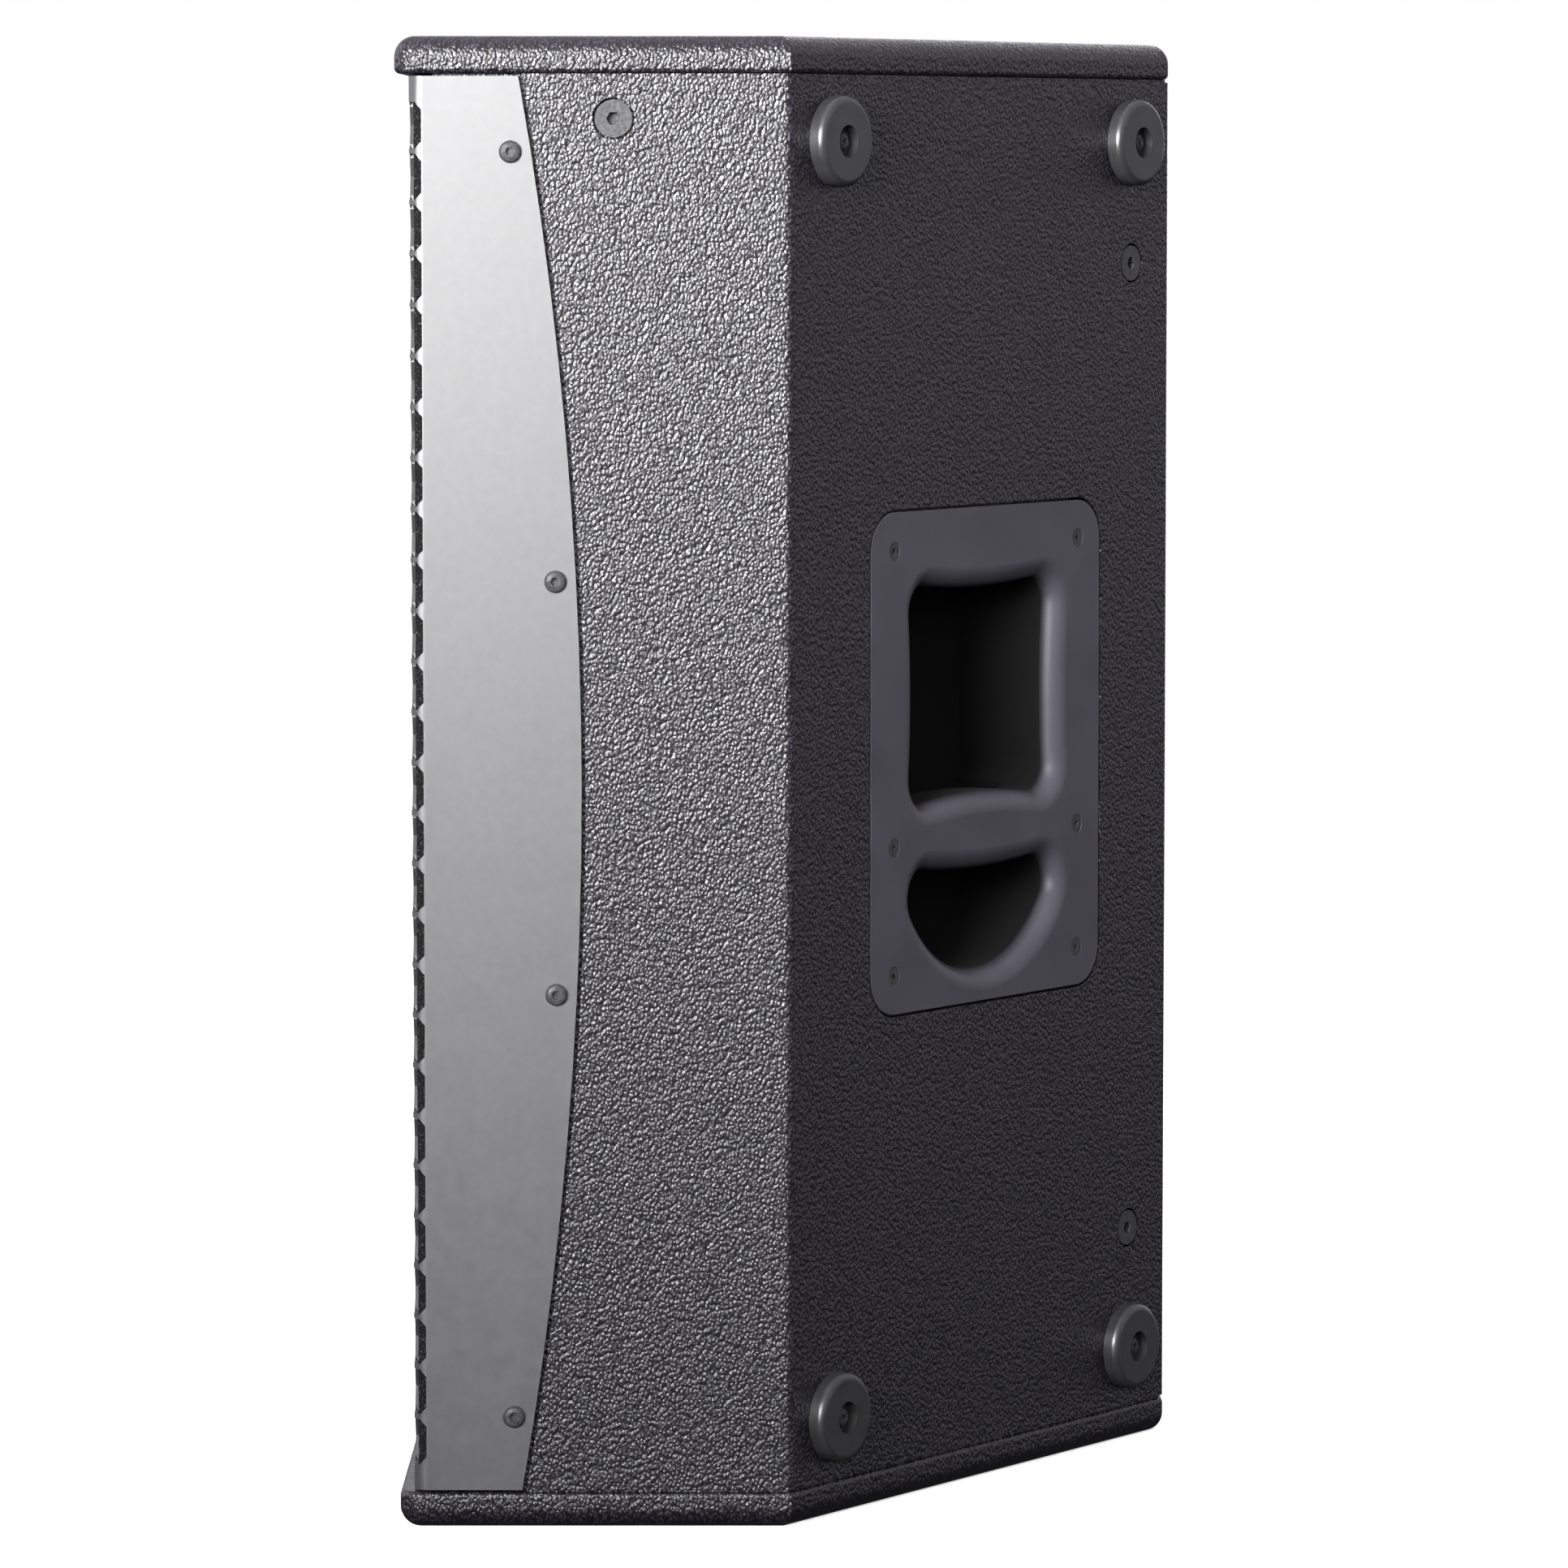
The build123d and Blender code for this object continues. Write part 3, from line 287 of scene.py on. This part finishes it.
def zinc_steel():
    """Zinc-plated steel with fine level turning marks."""
    m = Shader("zinc_steel", (0.55, 0.55, 0.53), 0.3, metallic=1.0)
    lines = m.noise(60.0, 4.0, vector=m.mapped((1.0, 1.0, 30.0)))
    m.bump(lines, 0.00005, 0.5)
    m.colour(m.ramp(m.noise(80.0, 4.0), (0.3, (0.42, 0.42, 0.40)), (0.7, (0.62, 0.62, 0.6))))
    m.roughness(m.spread(lines, 0.22, 0.42))
    return m.material


def cast_enamel():
    """Cast metal under black enamel."""
    m = Shader("cast_enamel", (0.03, 0.03, 0.03), 0.5, metallic=0.2)
    m.bump(m.noise(420.0, 5.0), 0.0003, 0.7)
    m.colour(m.ramp(m.noise(120.0, 4.0), (0.3, (0.022, 0.022, 0.022)), (0.7, (0.05, 0.05, 0.05))))
    m.roughness(m.spread(m.noise(300.0, 3.0), 0.42, 0.6))
    return m.material


def fibrous(name, dark, light, size, depth):
    """Pulp and fleece: tangled fibres at the given size."""
    m = Shader(name, light, 0.9, specular=0.2)
    fibres = m.noise(size, 6.0, 0.7, vector=m.warped(size / 3, 0.01), distortion=1.5)
    m.bump(fibres, depth, 0.9)
    m.colour(m.ramp(fibres, (0.35, dark), (0.65, light)))
    m.set("Sheen Weight", 0.3)
    m.set("Sheen Roughness", 0.6)
    return m.material


def woven_cloth():
    """Treated cloth: two crossed sets of threads."""
    m = Shader("woven_cloth", (0.45, 0.33, 0.16), 0.7, specular=0.3)
    waves = []
    for turn in (0.0, math.pi / 2):
        node = m.tree.nodes.new("ShaderNodeTexWave")
        node.inputs["Scale"].default_value = 420.0
        m.link(m.mapped((1.0, 1.0, 1.0), (0.0, turn, 0.0)), node.inputs["Vector"])
        waves.append(node.outputs["Fac"])
    weave = m.combine("MULTIPLY", *waves)
    m.bump(weave, 0.0003, 0.8)
    m.colour(m.ramp(weave, (0.1, (0.3, 0.2, 0.08)), (0.8, (0.5, 0.38, 0.2))))
    return m.material


def ceramic(name, dark, light):
    """Fired body with fine grains."""
    m = Shader(name, light, 0.55, specular=0.5)
    m.bump(m.noise(900.0, 4.0), 0.0001, 0.7)
    m.colour(m.ramp(m.noise(500.0, 5.0), (0.35, dark), (0.65, light)))
    m.roughness(m.spread(m.noise(200.0, 3.0), 0.45, 0.7))
    return m.material


def wound_copper():
    """Lacquered copper wire, turn beside turn."""
    m = Shader("wound_copper", (0.6, 0.24, 0.09), 0.28, metallic=1.0)
    node = m.tree.nodes.new("ShaderNodeTexWave")
    node.bands_direction = "X"
    node.inputs["Scale"].default_value = 210.0
    m.link(m.place, node.inputs["Vector"])
    turns = node.outputs["Fac"]
    m.bump(turns, 0.0004, 0.8)
    m.colour(m.ramp(turns, (0.1, (0.25, 0.08, 0.03)), (0.8, (0.72, 0.3, 0.12))))
    m.set("Coat Weight", 0.5)
    return m.material


def bright_metal():
    """Thin bright metal of the diaphragm."""
    m = Shader("bright_metal", (0.72, 0.72, 0.7), 0.25, metallic=1.0)
    m.bump(m.noise(800.0, 3.0), 0.00004, 0.5)
    m.colour(m.ramp(m.noise(150.0, 3.0), (0.3, (0.6, 0.6, 0.58)), (0.7, (0.8, 0.8, 0.78))))
    m.roughness(m.spread(m.noise(400.0, 3.0), 0.2, 0.34))
    return m.material


def stained_plywood():
    """Plywood stained nearly black, with its grain upright."""
    m = Shader("stained_plywood", (0.03, 0.027, 0.024), 0.6, specular=0.35)
    grain = m.noise(30.0, 6.0, 0.6, vector=m.mapped((12.0, 12.0, 1.0)), distortion=0.6)
    m.bump(grain, 0.0004, 0.5)
    m.colour(m.ramp(grain, (0.35, (0.016, 0.014, 0.012)), (0.65, (0.045, 0.04, 0.034))))
    m.roughness(m.spread(grain, 0.5, 0.7))
    return m.material


def circuit_board():
    """Green board with faint copper areas."""
    m = Shader("circuit_board", (0.01, 0.09, 0.035), 0.3, specular=0.5)
    tracks = m.cells(70.0, feature="F1", vector=m.mapped((0.0, 1.0, 1.0)), randomness=0.2)
    m.colour(m.ramp(tracks, (0.42, (0.008, 0.07, 0.028)), (0.5, (0.02, 0.14, 0.05))))
    m.bump(tracks, 0.00008, 0.6)
    m.roughness(m.spread(m.noise(120.0, 2.0), 0.26, 0.38))
    return m.material


def make_materials():
    """Every material, by the slot that wears it, and the handle's own variant with painted shade in its
    recess.
    """
    return {
        "textured_paint_plywood": structured_paint(),
        "plain_plywood": stained_plywood(),
        "grille_steel": powder_coat(),
        "foam": open_foam(),
        "black_screw_steel": dark_steel(),
        "zinc_steel": zinc_steel(),
        "foot_rubber": soft_rubber("foot_rubber", 0.014),
        "satin_plastic": satin_plastic(),
        "handle_plastic_painted_shade": handle_plastic_painted_shade(),
        "socket_plastic": gloss_plastic("socket_plastic", (0.02, 0.02, 0.022)),
        "seal_rubber": soft_rubber("seal_rubber", 0.03),
        "cast_alloy": cast_enamel(),
        "cone_paper": fibrous("cone_paper", (0.012, 0.012, 0.012), (0.045, 0.045, 0.043), 420.0, 0.0004),
        "coil_copper": wound_copper(),
        "treated_cloth": woven_cloth(),
        "ferrite": ceramic("ferrite", (0.02, 0.02, 0.021), (0.06, 0.06, 0.062)),
        "diaphragm_metal": bright_metal(),
        "circuit_board": circuit_board(),
        "capacitor_plastic": gloss_plastic("capacitor_plastic", (0.5, 0.36, 0.06)),
        "resistor_ceramic": ceramic("resistor_ceramic", (0.6, 0.58, 0.53), (0.78, 0.76, 0.71)),
        "plate_steel": powder_coat(),
        "lining_fleece": fibrous("lining_fleece", (0.12, 0.12, 0.13), (0.3, 0.3, 0.31), 260.0, 0.002),
    }


def dress_nodes(materials):
    """Gives every CAD node the material of its slot, the handle its own variant with painted shade in its
    recess.
    """
    for part in frame["record"]["subparts"]:
        mesh = NODES[part["node"]].data
        mesh.materials.clear()
        look = "handle_plastic_painted_shade" if part["node"] == "handle_shell" else part["material_slot"]
        mesh.materials.append(materials[look])


# ---- pieces ----

def piece(name, mesh, material):
    """Adds a smooth-shaded mesh that rides on the cabinet."""
    thing = bpy.data.objects.new(name, mesh)
    bpy.context.scene.collection.objects.link(thing)
    mesh.materials.append(material)
    for polygon in mesh.polygons:
        polygon.use_smooth = True
    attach(thing, BODY)
    return thing


def pad_mesh(name, low, high, across, along, thin, crown, cell):
    """Closed pad between two corners; crown(a, b) says how far its low face sinks into that box."""
    form = bmesh.new()
    size = high - low
    steps_a = max(4, round(size[across] / cell))
    steps_b = max(4, round(size[along] / cell))
    layers = []
    for side in (0, 1):
        rows = []
        for i in range(steps_a + 1):
            row = []
            for j in range(steps_b + 1):
                a, b = i / steps_a, j / steps_b
                spot = low.copy()
                spot[across] += a * size[across]
                spot[along] += b * size[along]
                spot[thin] = (low[thin] + crown(a, b)) if side == 0 else high[thin]
                row.append(form.verts.new(spot))
            rows.append(row)
        layers.append(rows)
    for rows in layers:
        for i in range(steps_a):
            for j in range(steps_b):
                form.faces.new((rows[i][j], rows[i + 1][j], rows[i + 1][j + 1], rows[i][j + 1]))
    front, back = layers
    for i in range(steps_a):
        for j in (0, steps_b):
            form.faces.new((front[i][j], front[i + 1][j], back[i + 1][j], back[i][j]))
    for j in range(steps_b):
        for i in (0, steps_a):
            form.faces.new((front[i][j], front[i][j + 1], back[i][j + 1], back[i][j]))
    bmesh.ops.recalc_face_normals(form, faces=form.faces)
    mesh = bpy.data.meshes.new(name)
    form.to_mesh(mesh)
    form.free()
    return mesh


def edge_fall(a, size, reach):
    """0 at either end of a span, 1 once reach away from both."""
    near = min(a, 1 - a) * size
    return math.sqrt(max(0.0, 1 - (1 - min(1.0, near / reach)) ** 2))


def grille_foam(material):
    """Foam behind the mesh: its face is slightly uneven and rolls off at the two bends."""
    low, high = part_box("grille_foam")
    width = high.x - low.x
    ripple = random.Random(4)
    phases = [(ripple.uniform(20, 60), ripple.uniform(20, 60), ripple.uniform(0, 6.28)) for _ in range(6)]

    def crown(a, b):
        roll = FOAM_ROLL * (1 - edge_fall(a, width, FOAM_ROLL))
        wave = sum(math.sin(p * a * 1.3 + q * b + r) for p, q, r in phases) / len(phases)
        return roll + 0.0002 * (1 + wave)

    mesh = pad_mesh("grille_foam_pad", low, high, 0, 2, 1, crown, 0.0045)
    foam = piece("grille_foam_pad", mesh, material)
    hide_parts("grille_foam")


def rear_lining(material):
    """Fleece pad on the rear wall, lofted between its stitched edges."""
    low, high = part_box("rear_lining")
    width, height = high.x - low.x, high.z - low.z

    def crown(a, b):
        puff = edge_fall(a, width, LINING_ROLL) * edge_fall(b, height, LINING_ROLL)
        tuft = 0.5 - 0.5 * math.cos(6 * math.pi * a) * math.cos(8 * math.pi * b)
        return LINING_RISE * (1 - puff) + 0.0015 * tuft * puff

    mesh = pad_mesh("rear_lining_pad", low, high, 0, 2, 1, crown, 0.003)
    lining = piece("rear_lining_pad", mesh, material)
    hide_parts("rear_lining")


# ---- stage ----

def floor():
    """Plain pale floor that fades into the background."""
    form = bmesh.new()
    bmesh.ops.create_grid(form, x_segments=8, y_segments=8, size=FLOOR_HALF)
    mesh = bpy.data.meshes.new("floor")
    form.to_mesh(mesh)
    form.free()
    ground = bpy.data.objects.new("floor", mesh)
    bpy.context.scene.collection.objects.link(ground)
    m = Shader("pale_floor", (0.9, 0.9, 0.9), 0.85, specular=0.2)
    m.colour(m.ramp(m.noise(3.0, 3.0), (0.3, (0.89, 0.89, 0.89)), (0.7, (0.92, 0.92, 0.92))))
    m.set("Emission Color", (1.0, 1.0, 1.0, 1.0))
    m.set("Emission Strength", 0.6)
    distance = m.tree.nodes.new("ShaderNodeVectorMath")
    distance.operation = "LENGTH"
    m.link(m.place, distance.inputs[0])
    m.link(m.spread(distance.outputs["Value"], 1.0, 0.0, *FLOOR_FADE), m.bsdf.inputs["Alpha"])
    mesh.materials.append(m.material)
    ground.visible_glossy = False
    ground.visible_diffuse = False


def area_light(name, place, target, width, height, power, spread=180.0):
    """Rectangular light aimed at a target; a small spread in degrees makes it a beam."""
    data = bpy.data.lights.new(name, "AREA")
    data.shape = "RECTANGLE"
    data.size = width
    data.size_y = height
    data.energy = power
    data.spread = math.radians(spread)
    light = bpy.data.objects.new(name, data)
    light.location = place
    light.rotation_euler = (Vector(target) - Vector(place)).to_track_quat("-Z", "Y").to_euler()
    bpy.context.scene.collection.objects.link(light)


def lights():
    """Two beams on the straight side, and soft light from above, the front and the far side."""
    area_light("key", (2.45, -1.1, 1.15), (0.2, -0.05, 0.86), 1.2, 0.9, 40.0, 48.0)
    area_light("side", (4.1, -0.1, 1.4), (0.2, 0.0, 0.7), 2.4, 1.2, 15.0, 70.0)
    area_light("top", (0.0, -0.4, 3.2), (0.0, 0.0, 0.3), 3.0, 3.0, 22.0)
    area_light("front", (-1.4, -3.6, 1.6), (0.0, 0.0, 0.3), 2.4, 1.8, 40.0)
    area_light("fill", (-4.0, 0.8, 1.3), (0.0, 0.0, 0.3), 2.4, 1.8, 40.0)


def surroundings():
    """White behind the object for the camera; for the rest a room that is darker near the floor."""
    world = bpy.data.worlds.new("surroundings")
    bpy.context.scene.world = world
    world.use_nodes = True
    tree = world.node_tree
    tree.nodes.clear()
    seen = tree.nodes.new("ShaderNodeBackground")
    seen.inputs["Color"].default_value = (1.0, 1.0, 1.0, 1.0)
    seen.inputs["Strength"].default_value = 1.0
    heading = tree.nodes.new("ShaderNodeSeparateXYZ")
    tree.links.new(tree.nodes.new("ShaderNodeTexCoord").outputs["Generated"], heading.inputs["Vector"])
    height = tree.nodes.new("ShaderNodeMapRange")
    for socket, value in (("From Min", -0.22), ("From Max", 0.12), ("To Min", 0.04), ("To Max", 0.85)):
        height.inputs[socket].default_value = value
    tree.links.new(heading.outputs["Z"], height.inputs["Value"])
    unseen = tree.nodes.new("ShaderNodeBackground")
    unseen.inputs["Color"].default_value = (0.97, 0.94, 1.0, 1.0)
    tree.links.new(height.outputs["Result"], unseen.inputs["Strength"])
    path = tree.nodes.new("ShaderNodeLightPath")
    mix = tree.nodes.new("ShaderNodeMixShader")
    out = tree.nodes.new("ShaderNodeOutputWorld")
    tree.links.new(path.outputs["Is Camera Ray"], mix.inputs["Fac"])
    tree.links.new(unseen.outputs["Background"], mix.inputs[1])
    tree.links.new(seen.outputs["Background"], mix.inputs[2])
    tree.links.new(mix.outputs["Shader"], out.inputs["Surface"])


def camera():
    """Square on to the straight side, a little lower than its top, looking slightly down."""
    side_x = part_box("side_panel_right")[1].x
    data = bpy.data.cameras.new("camera")
    data.sensor_width = 36.0
    data.lens = 168.9
    data.clip_end = 60.0
    eye = bpy.data.objects.new("camera", data)
    eye.location = (side_x + CAMERA_DISTANCE, -0.0049, CAMERA_HEIGHT)
    eye.rotation_euler = (math.radians(90 - CAMERA_TILT), 0.0, math.radians(90))
    bpy.context.scene.collection.objects.link(eye)
    bpy.context.scene.camera = eye


bpy.context.scene.view_settings.view_transform = "Standard"
camera()
lights()
surroundings()
floor()
MATERIALS = make_materials()
dress_nodes(MATERIALS)
grille_foam(MATERIALS["foam"])
rear_lining(MATERIALS["lining_fleece"])
